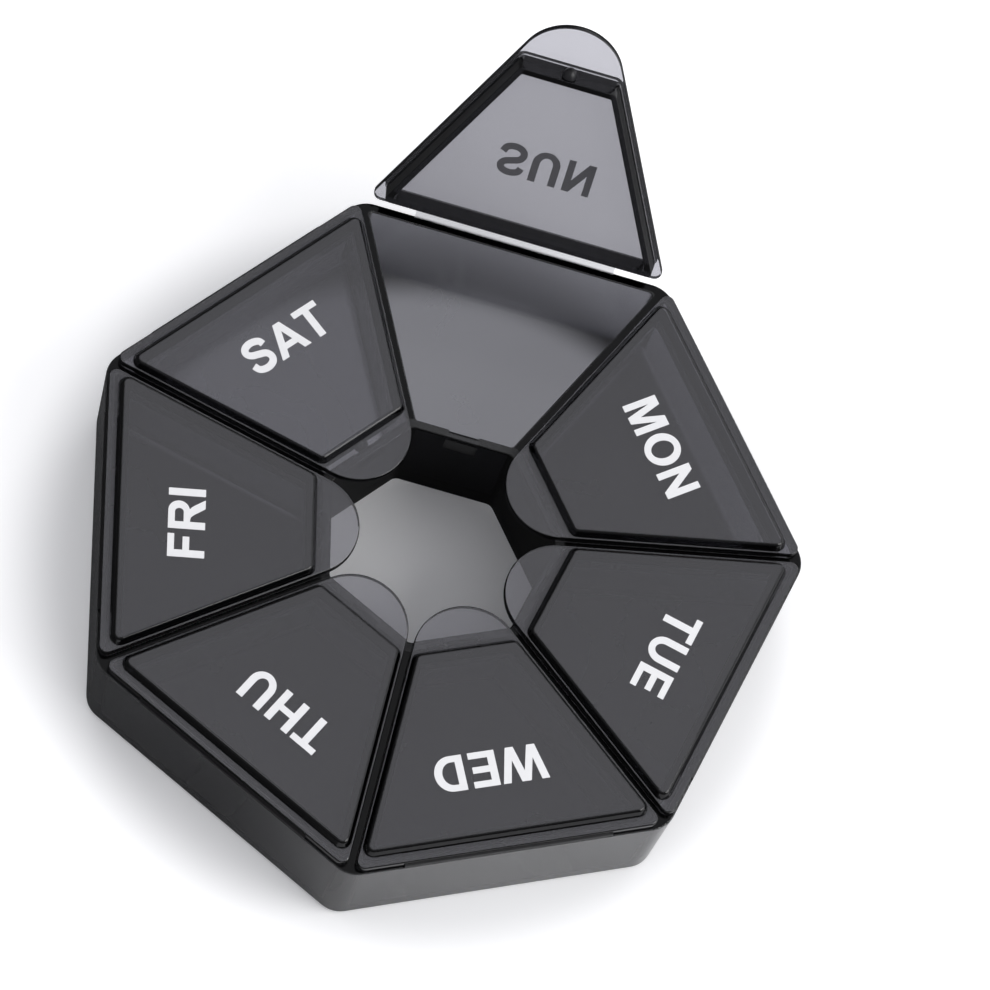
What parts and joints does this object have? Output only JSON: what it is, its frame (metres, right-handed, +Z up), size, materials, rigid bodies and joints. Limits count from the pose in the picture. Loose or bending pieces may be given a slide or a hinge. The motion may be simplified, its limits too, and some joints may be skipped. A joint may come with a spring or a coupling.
{
  "type": "weekly pill organizer",
  "caption": "Heptagonal translucent pill organizer with wedge compartments around an open centre, each shut by its own snap lid on a living hinge at the outer rim.",
  "frame": {"origin": "on the surface the tray stands on, under the middle of the box round the part, with the Sunday lid open as stored", "axes": "+Z up out of the tray, +Y towards the Sunday compartment and its open lid, +X to the right with the Sunday compartment at the back"},
  "size_m": [0.1066, 0.1251, 0.0514],
  "materials": {
    "tray_plastic": "polished, smoky translucent",
    "lid_plastic": "polished, smoky translucent",
    "web_plastic": "thin flexed plastic, whitened"
  },
  "bodies": {
    "tray": {"pill_tray": "tray_plastic", "hinge_web_sun": "web_plastic", "hinge_web_mon": "web_plastic", "hinge_web_tue": "web_plastic", "hinge_web_wed": "web_plastic", "hinge_web_thu": "web_plastic", "hinge_web_fri": "web_plastic", "hinge_web_sat": "web_plastic"},
    "sun_lid": {"lid_sun": "lid_plastic"},
    "mon_lid": {"lid_mon": "lid_plastic"},
    "tue_lid": {"lid_tue": "lid_plastic"},
    "wed_lid": {"lid_wed": "lid_plastic"},
    "thu_lid": {"lid_thu": "lid_plastic"},
    "fri_lid": {"lid_fri": "lid_plastic"},
    "sat_lid": {"lid_sat": "lid_plastic"}
  },
  "joints": [
    {"name": "sun_hinge", "type": "hinge", "parent": "tray", "child": "sun_lid", "pos_m": [0, 0.04167, 0.0191], "axis": [-1, 0, 0], "range_deg": [-122, 56], "deforming": ["hinge_web_sun"]},
    {"name": "mon_hinge", "type": "hinge", "parent": "tray", "child": "mon_lid", "pos_m": [0.0389, 0.02294, 0.0191], "axis": [-0.6235, 0.7818, 0], "range_deg": [0, 178], "deforming": ["hinge_web_mon"]},
    {"name": "tue_hinge", "type": "hinge", "parent": "tray", "child": "tue_lid", "pos_m": [0.04851, -0.01915, 0.0191], "axis": [0.2225, 0.9749, 0], "range_deg": [0, 178], "deforming": ["hinge_web_tue"]},
    {"name": "wed_hinge", "type": "hinge", "parent": "tray", "child": "wed_lid", "pos_m": [0.02159, -0.05291, 0.0191], "axis": [0.901, 0.4339, 0], "range_deg": [0, 178], "deforming": ["hinge_web_wed"]},
    {"name": "thu_hinge", "type": "hinge", "parent": "tray", "child": "thu_lid", "pos_m": [-0.02159, -0.05291, 0.0191], "axis": [0.901, -0.4339, 0], "range_deg": [0, 178], "deforming": ["hinge_web_thu"]},
    {"name": "fri_hinge", "type": "hinge", "parent": "tray", "child": "fri_lid", "pos_m": [-0.04851, -0.01915, 0.0191], "axis": [0.2225, -0.9749, 0], "range_deg": [0, 178], "deforming": ["hinge_web_fri"]},
    {"name": "sat_hinge", "type": "hinge", "parent": "tray", "child": "sat_lid", "pos_m": [-0.0389, 0.02294, 0.0191], "axis": [-0.6235, -0.7818, 0], "range_deg": [0, 178], "deforming": ["hinge_web_sat"]}
  ]
}
